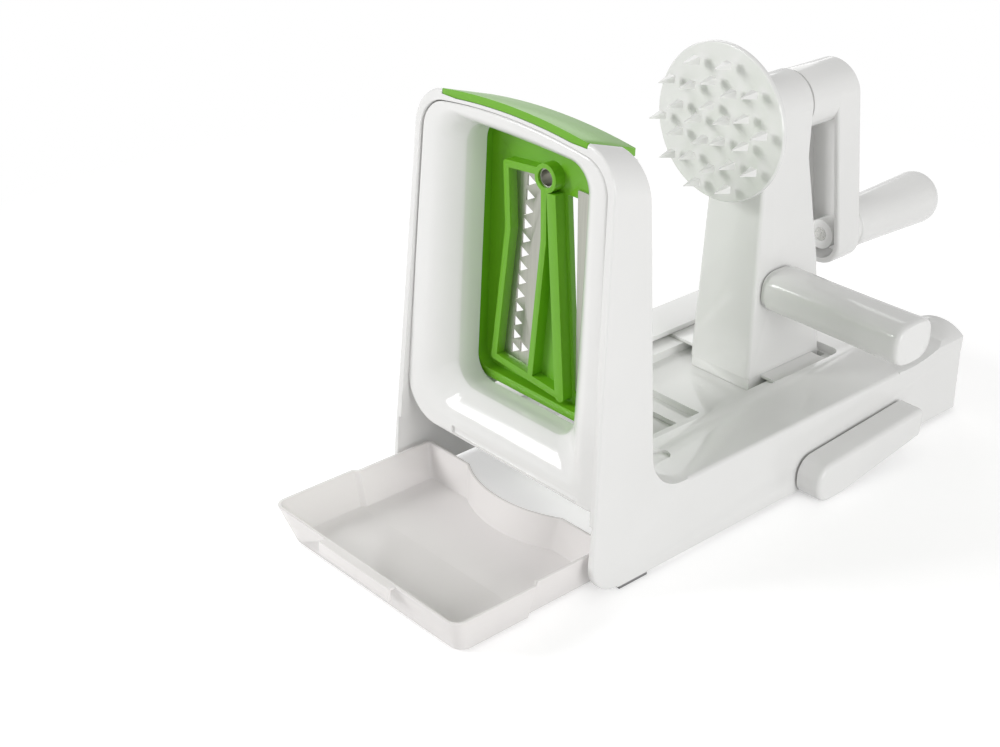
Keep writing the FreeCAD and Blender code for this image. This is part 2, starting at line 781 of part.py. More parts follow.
def tower_outline(inset):
    low = tower_bottom_z - 1 if inset else tower_bottom_z
    return [
        (-tower_bottom_half_width + inset, low, 0),
        (tower_bottom_half_width - inset, low, 0),
        (tower_barrel_radius - inset, crank_z, 0),
        (-tower_barrel_radius + inset, crank_z, 0),
    ]


def carriage_tower():
    rear = tower_front_y + tower_bottom_depth
    body = prism("y", tower_outline(0), tower_front_y, rear).common(
        prism("x", tower_profile(0), -big, big))
    body = rounded(body, tower_edge_radius, lambda edge: edge.BoundBox.ZLength > 30
                   and edge.BoundBox.ZMin < 100)
    barrel = rod("y", 0, crank_z, tower_barrel_radius, barrel_front_y, barrel_rear_y)
    tower = fuse([body, barrel])
    hollow = prism("y", tower_outline(tower_wall), tower_front_y, rear).common(
        prism("x", tower_profile(tower_wall), -big, big))
    keep = box(-big, big, -big, big, crank_z - bush_flange_radius - 3, big)
    hollow = hollow.cut(keep)
    for y in slide_screw_places():
        hollow = hollow.cut(rod("z", 0, y, slide_screw_head + 1.5, tower_bottom_z - 2, big))
    hollow = hollow.cut(rod("x", handle_y, handle_z, handle_screw_head + 2.5, -big, big))
    tower = tower.cut(hollow)
    shaft_room = shaft_radius + bush_wall
    tower = tower.cut(rod("y", 0, crank_z, shaft_room, barrel_front_y - 1, barrel_rear_y + 1))
    for y in slide_screw_places():
        tower = tower.cut(rod("z", 0, y, slide_screw_radius, tower_bottom_z - 1,
                              tower_bottom_z + slide_screw_length))
    tower = tower.cut(rod("x", handle_y, handle_z, handle_screw_radius, -big, big))
    tower = tower.cut(rod("x", handle_y, handle_z, handle_screw_head, -big, -tower_bottom_half_width + 5))
    return tower


def slide_screw_places():
    return [tower_front_y + slide_screw_inset, tower_front_y + tower_bottom_depth - slide_screw_inset]


def bush(low, high, flange_low, flange_high):
    outer = rod("y", 0, crank_z, shaft_radius + bush_wall, low, high)
    flange = rod("y", 0, crank_z, bush_flange_radius, flange_low, flange_high)
    bore = rod("y", 0, crank_z, shaft_radius + shaft_clearance, low - 5, high + 5)
    return outer.fuse(flange).cut(bore)


def slide_plate():
    y0 = tower_front_y + foot_setback
    y1 = tower_front_y + tower_bottom_depth
    block = box(-foot_half_width, foot_half_width, y0, y1, deck_z + slide_gap, tower_bottom_z)
    wing_z = ledge_z + (groove_height - wing_thickness) / 2
    wings = box(channel_left_x - groove_depth + wing_play, channel_right_x + groove_depth - wing_play,
                tower_front_y + wing_setback, y1 - 6, wing_z, wing_z + wing_thickness)
    solid = fuse([block, wings])
    for y in slide_screw_places():
        solid = solid.cut(rod("z", 0, y, slide_screw_radius, 0, big))
        solid = solid.cut(rod("z", 0, y, slide_screw_head + 0.2, 0, deck_z + slide_gap + 2.2))
    return solid


def slide_screws():
    solids = []
    low = deck_z + slide_gap + 0.2
    for y in slide_screw_places():
        head = rod("z", 0, y, slide_screw_head, low, low + 2.0)
        stem = rod("z", 0, y, slide_screw_radius - 0.1, low + 1, tower_bottom_z + slide_screw_length - 1)
        solids.append(head.fuse(stem))
    return Part.makeCompound(solids)


def tower_side_x(z):
    """The tower's right face at a height, whose half width narrows upwards."""
    share = (z - tower_bottom_z) / (crank_z - tower_bottom_z)
    return tower_bottom_half_width + (tower_barrel_radius - tower_bottom_half_width) * share


def handle_section(inset):
    half_y = handle_depth / 2 - inset
    half_z = handle_height / 2 - inset
    radius = handle_corner_radius - inset
    return [
        (handle_y - half_y, handle_z - half_z, radius),
        (handle_y + half_y, handle_z - half_z, radius),
        (handle_y + half_y, handle_z + half_z, radius),
        (handle_y - half_y, handle_z + half_z, radius),
    ]


def push_handle():
    root = tower_side_x(handle_z) + handle_gap
    neck_end = root + handle_neck
    neck = prism("x", handle_section(handle_neck_inset), root, neck_end)
    grip = prism("x", handle_section(0), neck_end, root + handle_length)
    grip = rounded(grip, handle_end_round, lambda edge: edge.BoundBox.XMin > root + handle_length - 0.01)
    handle = fuse([neck, grip])
    core = prism("x", handle_section(handle_wall), neck_end + handle_solid, root + handle_length - handle_wall - 1)
    pilot = rod("x", handle_y, handle_z, handle_screw_radius - 0.2, root - 1, root + handle_screw_reach)
    return handle.cut(core).cut(pilot)


def handle_screw():
    seat = -tower_bottom_half_width + 5
    head = rod("x", handle_y, handle_z, handle_screw_head - 0.3, seat - 2.6, seat)
    root = tower_side_x(handle_z) + handle_gap
    stem = rod("x", handle_y, handle_z, handle_screw_radius - 0.25, seat - 0.5, root + handle_screw_reach - 1)
    return head.fuse(stem)


def spike(x, z):
    """A slim pyramid that stands on the disc's front face."""
    half = spike_width / 2
    tip = spike_tip / 2
    base_y = disc_front_y + 0.2
    tip_y = disc_front_y - spike_height
    wires = []
    for y, size in ((base_y, half), (tip_y, tip)):
        points = [Vector(x + a * size, y, z + b * size) for a, b in ((-1, -1), (1, -1), (1, 1), (-1, 1), (-1, -1))]
        wires.append(Part.makePolygon(points))
    return Part.makeLoft(wires, True, True)


def spiked_disc():
    disc = rod("y", 0, crank_z, disc_radius, disc_front_y, disc_front_y + disc_thickness)
    disc = rounded(disc, 0.9, lambda edge: edge.BoundBox.YMax < disc_front_y + 0.01)
    hub_end = barrel_front_y - bush_flange - disc_hub_gap
    hub = rod("y", 0, crank_z, disc_hub_radius, disc_front_y + 1, hub_end)
    spikes = []
    for count, radius, offset in spike_rings:
        for index in range(count):
            angle = math.radians(offset + 360.0 * index / count)
            spikes.append(spike(radius * math.cos(angle), crank_z + radius * math.sin(angle)))
    disc = fuse([disc, hub] + spikes)
    return disc.cut(rod("y", 0, crank_z, shaft_radius, disc_front_y + 1.2, big))


def crank_shaft():
    end = arm_rear_y - arm_wall - 1.0
    shaft = rod("y", 0, crank_z, shaft_radius, disc_front_y + 1.2, end)
    return shaft.cut(rod("y", 0, crank_z, 1.6, end - 12, end + 1))


def arm_outline(radius):
    side = [
        Part.Arc(Vector(-radius, 0, crank_z), Vector(0, 0, crank_z + radius), Vector(radius, 0, crank_z)).toShape(),
        Part.LineSegment(Vector(radius, 0, crank_z), Vector(radius, 0, knob_z)).toShape(),
        Part.Arc(Vector(radius, 0, knob_z), Vector(0, 0, knob_z - radius), Vector(-radius, 0, knob_z)).toShape(),
        Part.LineSegment(Vector(-radius, 0, knob_z), Vector(-radius, 0, crank_z)).toShape(),
    ]
    return Part.Face(Part.Wire(side))


def arm_band(front, depth):
    """All between two planes that lean outwards with the arm, from their places at the crank's axis."""
    rise = 2 * arm_half_width
    top_shift = -arm_lean * rise
    low_shift = arm_offset + arm_lean * rise
    return prism("x", [
        (front + top_shift, crank_z + rise, 0),
        (front + low_shift, knob_z - rise, 0),
        (front + depth + low_shift, knob_z - rise, 0),
        (front + depth + top_shift, crank_z + rise, 0),
    ], -big, big)


def arm_plate(radius, front, depth):
    face = arm_outline(radius)
    face.translate(Vector(0, front - 2 * arm_offset, 0))
    return face.extrude(Vector(0, depth + 4 * arm_offset, 0)).common(arm_band(front, depth))


def crank_arm():
    arm = arm_plate(arm_half_width, arm_front_y, arm_depth)
    back_face = max(arm.Faces, key=lambda face: face.CenterOfMass.y)
    arm = arm.makeFillet(arm_edge_radius, back_face.Edges)
    wall_front = arm_depth - arm_wall
    channel = arm_plate(arm_half_width - arm_wall, arm_front_y - arm_depth, arm_depth + wall_front)
    hub_start = barrel_rear_y + bush_flange + hub_gap
    room = arm_band(arm_front_y - 3 * arm_depth, 3 * arm_depth + wall_front + arm_wall / 2)
    hub = rod("y", 0, crank_z, hub_radius, hub_start, arm_rear_y + arm_wall).common(room)
    knob_boss = rod("y", 0, knob_z, spindle_radius + 4, arm_front_y + arm_offset + 4,
                    arm_rear_y + arm_offset).common(room)
    seat = rod("y", 0, knob_z, knob_seat_radius, arm_rear_y + arm_offset - arm_wall - 1, knob_seat_y)
    arm = fuse([fuse([arm, seat]).cut(channel), hub, knob_boss])
    arm = arm.cut(rod("y", 0, crank_z, shaft_radius, hub_start - 1, arm_rear_y - arm_wall - 1.0))
    arm = arm.cut(rod("y", 0, crank_z, 2.1, hub_start, arm_rear_y + 1))
    arm = arm.cut(rod("y", 0, crank_z, washer_radius + 0.3, arm_rear_y - 2.2, arm_rear_y + arm_wall))
    return arm.cut(rod("y", 0, knob_z, spindle_radius, arm_front_y, knob_seat_y + 1))


def crank_washer():
    seat = arm_rear_y - 2.2
    washer = rod("y", 0, crank_z, washer_radius, seat, seat + washer_thickness)
    return washer.cut(rod("y", 0, crank_z, 2.1, seat - 1, seat + 5))


def crank_screw():
    seat = arm_rear_y - 2.2 + washer_thickness
    head = rod("y", 0, crank_z, crank_screw_head, seat, seat + 2.0)
    stem = rod("y", 0, crank_z, 1.6, arm_rear_y - arm_wall - 12.0, seat + 0.5)
    return head.fuse(stem)


def crank_knob():
    end = knob_front_y + knob_length
    grip = cone("y", 0, knob_z, knob_collar_radius, knob_end_radius, knob_front_y + 3, end)
    grip = rounded(grip, knob_round, lambda edge: edge.BoundBox.YMin > end - 0.01)
    collar = rod("y", 0, knob_z, knob_collar_radius - 0.9, knob_front_y, knob_front_y + 3.5)
    grip = fuse([grip, collar])
    bore = spindle_radius + knob_bore_clearance
    head_room = spindle_head_radius + 0.6
    seat = knob_front_y + spindle_length - washer_thickness - 0.3
    grip = grip.cut(rod("y", 0, knob_z, bore, knob_front_y - 1, end - 8))
    return grip.cut(rod("y", 0, knob_z, head_room, seat, end - 6))


def knob_spindle():
    head_seat = knob_front_y + spindle_length
    stem = rod("y", 0, knob_z, spindle_radius, arm_front_y + arm_offset + 4, head_seat + 0.5)
    head = rod("y", 0, knob_z, spindle_head_radius, head_seat, head_seat + spindle_head)
    return stem.fuse(head)


def knob_washer():
    seat = knob_front_y + spindle_length
    washer = rod("y", 0, knob_z, spindle_head_radius, seat - washer_thickness, seat)
    return washer.cut(rod("y", 0, knob_z, spindle_radius, seat - 5, seat + 5))


def suction_lever():
    x0 = half_width + lever_gap
    x1 = x0 + lever_thickness
    bottom = lever_axis_z - lever_radius
    corners = [
        (-lever_radius, bottom, lever_radius * 0.8),
        (lever_radius * 0.7, bottom, 4.0),
        (lever_length, lever_axis_z + lever_tip_low, 3.0),
        (lever_length, lever_axis_z + lever_tip_high, 3.0),
        (-lever_radius, lever_axis_z + lever_radius * 0.72, lever_radius * 0.8),
    ]
    lever = prism("x", corners, x0, x1)
    lever = rounded(lever, lever_edge_radius, lambda edge: edge.BoundBox.XMin > x1 - 0.01)
    return lever.cut(rod("x", 0, lever_axis_z, lever_shaft_radius, x0 - 1, x1 - lever_skin))


def lever_shaft():
    outer_x = half_width + lever_gap + lever_thickness - lever_skin
    return rod("x", 0, lever_axis_z, lever_shaft_radius, lever_shaft_inner_x, outer_x)


def suction_cam():
    cam = rod("x", cam_offset, lever_axis_z, cam_radius, -cam_width / 2, cam_width / 2)
    return cam.cut(rod("x", 0, lever_axis_z, lever_shaft_radius, -cam_width, cam_width))


def housing_screw_places():
    places = []
    for degrees in housing_screw_angles:
        angle = math.radians(degrees)
        places.append((housing_screw_circle * math.cos(angle), housing_screw_circle * math.sin(angle)))
    return places


def suction_housing():
    shell = rod("z", 0, 0, housing_radius, housing_bottom_z, housing_top_z)
    shell = shell.cut(rod("z", 0, 0, housing_radius - housing_wall, 0, housing_top_z - housing_wall))
    play = housing_guide_play
    outer_x = yoke_half_width + play + housing_wall
    outer_y = yoke_half_depth + play + housing_wall
    guide = box(-outer_x, outer_x, -outer_y, outer_y,
                housing_top_z - housing_guide_height, housing_top_z - housing_wall + 0.5)
    guide = guide.cut(box(-yoke_half_width - play, yoke_half_width + play, -yoke_half_depth - play,
                          yoke_half_depth + play, 0, housing_top_z - housing_wall))
    shell = shell.fuse(guide)
    for x, y in housing_screw_places():
        shell = shell.cut(rod("z", x, y, housing_screw_radius, 0, big))
    hole = lever_shaft_radius + shaft_clearance
    return shell.cut(rod("x", 0, lever_axis_z, hole, 20, big))


def housing_screws():
    seat = housing_top_z - housing_wall
    solids = []
    for x, y in housing_screw_places():
        head = rod("z", x, y, housing_screw_head, seat - 2.0, seat)
        stem = rod("z", x, y, housing_screw_radius - 0.1, seat - 0.5, deck_z - 2.0)
        solids.append(head.fuse(stem))
    return Part.makeCompound(solids)


def cup_stem():
    cam_reach = cam_radius + cam_play
    top = lever_axis_z + cam_reach + yoke_wall
    yoke = box(-yoke_half_width, yoke_half_width, -yoke_half_depth, yoke_half_depth, yoke_bottom_z, top)
    window = box(-cam_width / 2 - 0.6, cam_width / 2 + 0.6, -cam_reach + cam_offset, cam_reach,
                 lever_axis_z - cam_reach, lever_axis_z + cam_reach)
    way = box(-big, big, -lever_shaft_radius - 0.6, lever_shaft_radius + 0.6,
              lever_axis_z - lever_shaft_radius - 0.6, lever_axis_z + lever_shaft_radius + 3.0)
    return yoke.cut(window).cut(way)


def suction_cup():
    """A thin rubber dish whose rim seals on the table, with a boss that the plunger pulls."""
    low = cup_float
    top = low + cup_rise + cup_wall
    points = [
        Vector(0, 0, low + cup_rise),
        Vector(cup_radius - cup_rim - 8, 0, low + cup_rise),
        Vector(cup_radius - cup_rim, 0, low),
        Vector(cup_radius, 0, low),
        Vector(cup_radius - cup_rim + 1, 0, low + cup_wall),
        Vector(cup_radius - cup_rim - 7, 0, top),
        Vector(0, 0, top),
        Vector(0, 0, low + cup_rise),
    ]
    face = Part.Face(Part.makePolygon(points))
    dish = face.revolve(Vector(0, 0, 0), AXES["z"], 360)
    return dish.cut(box(-yoke_half_width - 0.3, yoke_half_width + 0.3, -yoke_half_depth - 0.3,
                        yoke_half_depth + 0.3, yoke_bottom_z - 0.3, big))


def feet():
    solids = []
    for x in (-half_width + foot_inset, half_width - foot_inset):
        y = rear_y - foot_inset
        pad = rod("z", x, y, foot_radius - 0.5, 0, skirt_bottom_z)
        peg = rod("z", x, y, foot_peg_radius - 0.05, skirt_bottom_z - 0.5, skirt_bottom_z + foot_peg_length - 0.5)
        solids.append(pad.fuse(peg))
    for side in (-1, 1):
        middle = side * (half_width - skirt_wall / 2 - 0.2)
        solids.append(box(middle - front_foot_width / 2, middle + front_foot_width / 2,
                          front_y + front_foot_setback, front_y + front_foot_setback + front_foot_length,
                          0, skirt_bottom_z))
    return Part.makeCompound(solids)


save("body_shell", body_shell())
save("front_panel", front_panel())
save("blade_frame", blade_frame())
save("coring_ring", coring_ring())
save("julienne_blade", julienne_blade())
save("slicing_blade", slicing_blade())
save("juice_tray", juice_tray())
save("carriage_tower", carriage_tower())
save("carriage_slide_plate", slide_plate())
save("slide_screws", slide_screws())
save("push_handle", push_handle())
save("handle_screw", handle_screw())
save("bush_front", bush(barrel_front_y, barrel_front_y + bush_length, barrel_front_y - bush_flange, barrel_front_y))
save("bush_rear", bush(barrel_rear_y - bush_length, barrel_rear_y, barrel_rear_y, barrel_rear_y + bush_flange))
save("spiked_disc", spiked_disc())
save("crank_shaft", crank_shaft())
save("crank_arm", crank_arm())
save("crank_washer", crank_washer())
save("crank_screw", crank_screw())
save("crank_knob", crank_knob())
save("knob_spindle", knob_spindle())
save("knob_washer", knob_washer())
save("suction_lever", suction_lever())
save("lever_shaft", lever_shaft())
save("suction_cam", suction_cam())
save("suction_housing", suction_housing())
save("housing_screws", housing_screws())
save("cup_stem", cup_stem())
save("suction_cup", suction_cup())
save("feet", feet())
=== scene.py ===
import math

import bmesh
import bpy
from mathutils import Matrix, Vector


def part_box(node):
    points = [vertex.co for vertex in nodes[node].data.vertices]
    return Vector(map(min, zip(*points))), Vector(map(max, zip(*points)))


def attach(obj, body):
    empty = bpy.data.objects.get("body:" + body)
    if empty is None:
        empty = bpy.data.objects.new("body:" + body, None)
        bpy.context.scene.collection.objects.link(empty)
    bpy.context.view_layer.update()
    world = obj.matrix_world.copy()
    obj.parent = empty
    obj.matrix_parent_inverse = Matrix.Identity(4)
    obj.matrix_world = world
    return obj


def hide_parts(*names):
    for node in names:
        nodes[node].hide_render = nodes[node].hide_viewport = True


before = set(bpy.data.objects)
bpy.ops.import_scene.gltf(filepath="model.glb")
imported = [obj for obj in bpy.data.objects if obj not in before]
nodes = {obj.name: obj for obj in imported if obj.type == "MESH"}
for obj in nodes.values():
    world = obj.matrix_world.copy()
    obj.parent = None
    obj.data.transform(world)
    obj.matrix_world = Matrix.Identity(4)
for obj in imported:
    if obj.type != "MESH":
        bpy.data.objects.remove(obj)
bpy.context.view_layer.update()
mm = 0.001

# Camera: a standing viewer at the front right corner, with a lens a little longer than normal.
azimuth = math.radians(46.46)
elevation = math.radians(27.56)
roll = math.radians(1.76)
camera_place = Vector((0.4656, -0.5818, 0.4164))
camera_data = bpy.data.cameras.new("camera")
camera_data.lens = 61.96
camera_data.sensor_width = 36.0
back = Vector((math.sin(azimuth) * math.cos(elevation), -math.cos(azimuth) * math.cos(elevation),
               math.sin(elevation)))
level_right = Vector((math.cos(azimuth), math.sin(azimuth), 0))
level_up = back.cross(level_right)
right = level_right * math.cos(roll) + level_up * math.sin(roll)
up = level_up * math.cos(roll) - level_right * math.sin(roll)
camera = bpy.data.objects.new("camera", camera_data)
camera.matrix_world = Matrix.Translation(camera_place) @ Matrix((right, up, back)).transposed().to_4x4()
bpy.context.scene.collection.objects.link(camera)
bpy.context.scene.camera = camera
bpy.context.scene.view_settings.view_transform = "Standard"

# Studio: a white floor that keeps the shadow under a white sky. The light is a soft, even sky, a main
# lamp at the upper left in front, a low one on the right, and one behind that glints on the glossy deck.
world = bpy.data.worlds.new("studio")
bpy.context.scene.world = world
world.use_nodes = True
sky = world.node_tree
sky.nodes.clear()


def seen_rays(tree):
    """1 for rays that show the background: from the camera, from gloss and through clear plastic."""
    path = tree.nodes.new("ShaderNodeLightPath")
    last = path.outputs["Is Camera Ray"]
    for name in ("Is Glossy Ray", "Is Transmission Ray"):
        both = tree.nodes.new("ShaderNodeMath")
        both.operation = "MAXIMUM"
        tree.links.new(last, both.inputs[0])
        tree.links.new(path.outputs[name], both.inputs[1])
        last = both.outputs[0]
    return last


ambient = sky.nodes.new("ShaderNodeBackground")
ambient.inputs["Color"].default_value = (1.0, 0.995, 0.985, 1)
ambient.inputs["Strength"].default_value = 0.44
white = sky.nodes.new("ShaderNodeBackground")
white.inputs["Strength"].default_value = 1.0
choose = sky.nodes.new("ShaderNodeMixShader")
sky_out = sky.nodes.new("ShaderNodeOutputWorld")
sky.links.new(seen_rays(sky), choose.inputs[0])
sky.links.new(ambient.outputs[0], choose.inputs[1])
sky.links.new(white.outputs[0], choose.inputs[2])
sky.links.new(choose.outputs[0], sky_out.inputs[0])

floor_half = 3.0
floor_white = 0.86
floor_lift = 0.42
shadow_reach = 0.26
white_from = 0.50
floor_mesh = bpy.data.meshes.new("floor")
floor_mesh.from_pydata([(-floor_half, -floor_half, 0), (floor_half, -floor_half, 0),
                        (floor_half, floor_half, 0), (-floor_half, floor_half, 0)], [], [(0, 1, 2, 3)])
floor = bpy.data.objects.new("floor", floor_mesh)
bpy.context.scene.collection.objects.link(floor)
floor_paint = bpy.data.materials.new("white floor")
floor_paint.use_nodes = True
paint = floor_paint.node_tree
paint.nodes.clear()
matt = paint.nodes.new("ShaderNodeBsdfDiffuse")
matt.inputs["Color"].default_value = (floor_white, floor_white, floor_white, 1)
lift = paint.nodes.new("ShaderNodeEmission")
lift.inputs["Strength"].default_value = floor_lift
near = paint.nodes.new("ShaderNodeAddShader")
seen = paint.nodes.new("ShaderNodeMixShader")
far_white = paint.nodes.new("ShaderNodeEmission")
far_white.inputs["Strength"].default_value = 1.0
where = paint.nodes.new("ShaderNodeTexCoord")
distance = paint.nodes.new("ShaderNodeVectorMath")
distance.operation = "LENGTH"
fade = paint.nodes.new("ShaderNodeMapRange")
fade.inputs["From Min"].default_value = shadow_reach
fade.inputs["From Max"].default_value = white_from
show_far = paint.nodes.new("ShaderNodeMixShader")
floor_out = paint.nodes.new("ShaderNodeOutputMaterial")
paint.links.new(where.outputs["Object"], distance.inputs[0])
paint.links.new(distance.outputs["Value"], fade.inputs["Value"])
paint.links.new(matt.outputs[0], near.inputs[0])
paint.links.new(lift.outputs[0], near.inputs[1])
paint.links.new(fade.outputs["Result"], show_far.inputs[0])
paint.links.new(near.outputs[0], show_far.inputs[1])
paint.links.new(far_white.outputs[0], show_far.inputs[2])
paint.links.new(seen_rays(paint), seen.inputs[0])
paint.links.new(matt.outputs[0], seen.inputs[1])
paint.links.new(show_far.outputs[0], seen.inputs[2])
paint.links.new(seen.outputs[0], floor_out.inputs[0])
floor_mesh.materials.append(floor_paint)

lamp_aim = Vector((0, 0, 0.08))
lamps = (
    ("key", (-0.90, -1.38, 0.75), 0.55, 13.5),
    ("right", (1.55, -0.25, 0.48), 0.85, 10.5),
    ("behind", (-1.30, 1.02, 0.92), 1.05, 5.0),
)
for lamp_name, place, size, watts in lamps:
    lamp_data = bpy.data.lights.new(lamp_name, "AREA")
    lamp_data.size = size
    lamp_data.energy = watts
    lamp = bpy.data.objects.new(lamp_name, lamp_data)
    lamp.location = place
    lamp.rotation_euler = (lamp_aim - Vector(place)).to_track_quat("-Z", "Y").to_euler()
    bpy.context.scene.collection.objects.link(lamp)


# Body shell: the white moulded base with its rails and tapered arch. It is one shot of glossy ABS, so
# its outer corners carry a small radius and its skin a faint flow and shrink texture.
def moulded_plastic(name, colour, gloss, variation=0.03):
    """Injection moulded plastic: faint cloudy colour, a fine skin texture and slightly uneven gloss."""
    material = bpy.data.materials.new(name)
    material.use_nodes = True
    tree = material.node_tree
    shader = tree.nodes["Principled BSDF"]
    shader.inputs["IOR"].default_value = 1.5
    shader.inputs["Specular IOR Level"].default_value = 0.5
    place = tree.nodes.new("ShaderNodeTexCoord")
    cloud = tree.nodes.new("ShaderNodeTexNoise")
    cloud.inputs["Scale"].default_value = 22.0
    cloud.inputs["Detail"].default_value = 3.0
    tint = tree.nodes.new("ShaderNodeMix")
    tint.data_type = "RGBA"
    tint.inputs["A"].default_value = [c * (1 - variation) for c in colour] + [1]
    tint.inputs["B"].default_value = [min(c * (1 + variation), 1.0) for c in colour] + [1]
    polish = tree.nodes.new("ShaderNodeMapRange")
    polish.inputs["To Min"].default_value = gloss - 0.03
    polish.inputs["To Max"].default_value = gloss + 0.04
    skin = tree.nodes.new("ShaderNodeTexNoise")
    skin.inputs["Scale"].default_value = 1400.0
    skin.inputs["Detail"].default_value = 2.0
    flow = tree.nodes.new("ShaderNodeTexNoise")
    flow.inputs["Scale"].default_value = 38.0
    flow_bump = tree.nodes.new("ShaderNodeBump")
    flow_bump.inputs["Strength"].default_value = 0.06
    flow_bump.inputs["Distance"].default_value = 0.0001
    skin_bump = tree.nodes.new("ShaderNodeBump")
    skin_bump.inputs["Strength"].default_value = 0.05
    skin_bump.inputs["Distance"].default_value = 0.0001
    for texture in (cloud, skin, flow):
        tree.links.new(place.outputs["Object"], texture.inputs["Vector"])
    tree.links.new(cloud.outputs["Fac"], tint.inputs["Factor"])
    tree.links.new(cloud.outputs["Fac"], polish.inputs["Value"])
    tree.links.new(tint.outputs["Result"], shader.inputs["Base Color"])
    tree.links.new(polish.outputs["Result"], shader.inputs["Roughness"])
    tree.links.new(flow.outputs["Fac"], flow_bump.inputs["Height"])
    tree.links.new(skin.outputs["Fac"], skin_bump.inputs["Height"])
    tree.links.new(flow_bump.outputs["Normal"], skin_bump.inputs["Normal"])
    tree.links.new(skin_bump.outputs["Normal"], shader.inputs["Normal"])
    return material


def smooth_by_angle(mesh, degrees):
    mesh.shade_smooth()
    mesh.set_sharp_from_angle(angle=math.radians(degrees))


merge_distance = 0.002 * mm
flat_angle = math.radians(0.6)
corner_angle = math.radians(38)


def rounded_copy(node, piece_name, body, radius, material, steps=3):
    """The node's own form with its corners rounded, which stands in for the node."""
    source = nodes[node].data
    shape = bmesh.new()
    shape.from_mesh(source)
    bmesh.ops.remove_doubles(shape, verts=shape.verts, dist=merge_distance)
    bmesh.ops.dissolve_limit(shape, angle_limit=flat_angle, verts=shape.verts, edges=shape.edges)
    shape.verts.index_update()
    clean = bpy.data.meshes.new(piece_name)
    corners = [vertex.co.copy() for vertex in shape.verts]
    clean.from_pydata(corners, [], [[vertex.index for vertex in face.verts] for face in shape.faces])
    shape.free()
    piece = bpy.data.objects.new(piece_name, clean)
    bpy.context.scene.collection.objects.link(piece)
    bevel = piece.modifiers.new("corner", "BEVEL")
    bevel.width = radius
    bevel.segments = steps
    bevel.limit_method = "ANGLE"
    bevel.angle_limit = corner_angle
    bevel.use_clamp_overlap = True
    finish_mesh(piece)
    smooth_by_angle(piece.data, 42)
    piece.data.materials.clear()
    piece.data.materials.append(material)
    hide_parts(node)
    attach(piece, body)
    return piece


def finish_mesh(piece):
    """Turns a piece's modifiers into its plain mesh."""
    ready = bpy.data.meshes.new_from_object(piece.evaluated_get(bpy.context.evaluated_depsgraph_get()))
    piece.modifiers.clear()
    piece.data = ready


def dress(node, material):
    """Gives a node that keeps its own form its finish."""
    mesh = nodes[node].data
    mesh.materials.clear()
    mesh.materials.append(material)


plastic_white = (0.86, 0.86, 0.85)
shell_white = moulded_plastic("white shell plastic", plastic_white, 0.12)
rounded_copy("body_shell", "moulded_body", "frame", 0.5 * mm, shell_white)

# Front panel: a separate white ring pressed into the arch. It dishes softly from a flat rim to the
# sharp edge of the window, and a short tunnel runs back from there to the cartridge.
corner_steps = 24


def ring_outline(half_low, half_high, low, high, left_radius, right_radius, top_radius, crown):
    """Points round the arch's tapered outline with a crowned top, anticlockwise from its lower left."""
    crown_radius = 1 / crown
    crown_z = high - crown_radius
    corner_x = half_high - top_radius
    corner_z = crown_z + math.sqrt((crown_radius - top_radius) ** 2 - corner_x ** 2)
    lean = math.degrees(math.asin(corner_x / (crown_radius - top_radius)))
    arcs = (
        (left_radius - half_low, low + left_radius, left_radius, 180, 270),
        (half_low - right_radius, low + right_radius, right_radius, 270, 360),
        (corner_x, corner_z, top_radius, 0, 90 - lean),
        (0, crown_z, crown_radius, 90 - lean, 90 + lean),
        (-corner_x, corner_z, top_radius, 90 + lean, 180),
    )
    points = []
    for x, z, radius, start, end in arcs:
        for step in range(corner_steps + 1):
            angle = math.radians(start + (end - start) * step / corner_steps)
            points.append((x + radius * math.cos(angle), z + radius * math.sin(angle)))
    return points


def skin_rings(name, rings, closed):
    """A mesh over rings of equal point counts; closed joins the last ring to the first."""
    count = len(rings[0])
    vertices = [point for ring in rings for point in ring]
    faces = []
    last = len(rings) if closed else len(rings) - 1
    for row in range(last):
        here = row * count
        there = ((row + 1) % len(rings)) * count
        for step in range(count):
            after = (step + 1) % count
            faces.append((here + step, here + after, there + after, there + step))
    mesh = bpy.data.meshes.new(name)
    mesh.from_pydata(vertices, [], faces)
    return mesh


def outward(mesh):
    """Merges doubles and points the faces out."""
    shape = bmesh.new()
    shape.from_mesh(mesh)
    bmesh.ops.remove_doubles(shape, verts=shape.verts, dist=0.001 * mm)
    bmesh.ops.recalc_face_normals(shape, faces=shape.faces)
    shape.to_mesh(mesh)
    shape.free()


def add_piece(name, mesh, body, material, smooth=35):
    smooth_by_angle(mesh, smooth)
    mesh.materials.append(material)
    piece = bpy.data.objects.new(name, mesh)
    bpy.context.scene.collection.objects.link(piece)
    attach(piece, body)
    return piece


panel_low, panel_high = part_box("front_panel")
panel_lean = 0.0204
panel_fall = 0.30
panel_half_width = 61.2
panel_taper = 0.04
panel_left_corner = 19.0
panel_right_corner = 5.0
panel_top_corner = 14.2
panel_crown_radius = 282.7
window_half_width = 36.0
window_corner = 11.0
rim_radius = 1.2
dish_depth = 9.2
dish_curve = 1.75
panel_low_z = panel_low.z / mm
panel_high_z = panel_high.z / mm
panel_outer = (panel_half_width - panel_taper * panel_low_z, panel_half_width - panel_taper * panel_high_z,
               panel_low_z, panel_high_z, panel_left_corner, panel_right_corner, panel_top_corner,
               1 / panel_crown_radius)
window_edge = (window_half_width, window_half_width, 60.0, 182.0, window_corner, window_corner,
               window_corner, 1 / 3000.0)
face_share = 0.34
panel_rings = []


def panel_ring(share, depth, grow=0.0):
    """One ring of the panel: share runs from the outer edge to the window, depth is behind the face."""
    sizes = [a + (b - a) * share for a, b in zip(panel_outer, window_edge)]
    sizes[0] -= grow
    sizes[1] -= grow
    sizes[2] += grow
    sizes[3] -= grow + panel_fall * depth * (1 - share)
    ring = []
    for x, z in ring_outline(*sizes):
        face_y = panel_low.y / mm + panel_lean * (z - panel_low_z)
        ring.append((x * mm, (face_y + depth) * mm, z * mm))
    return ring


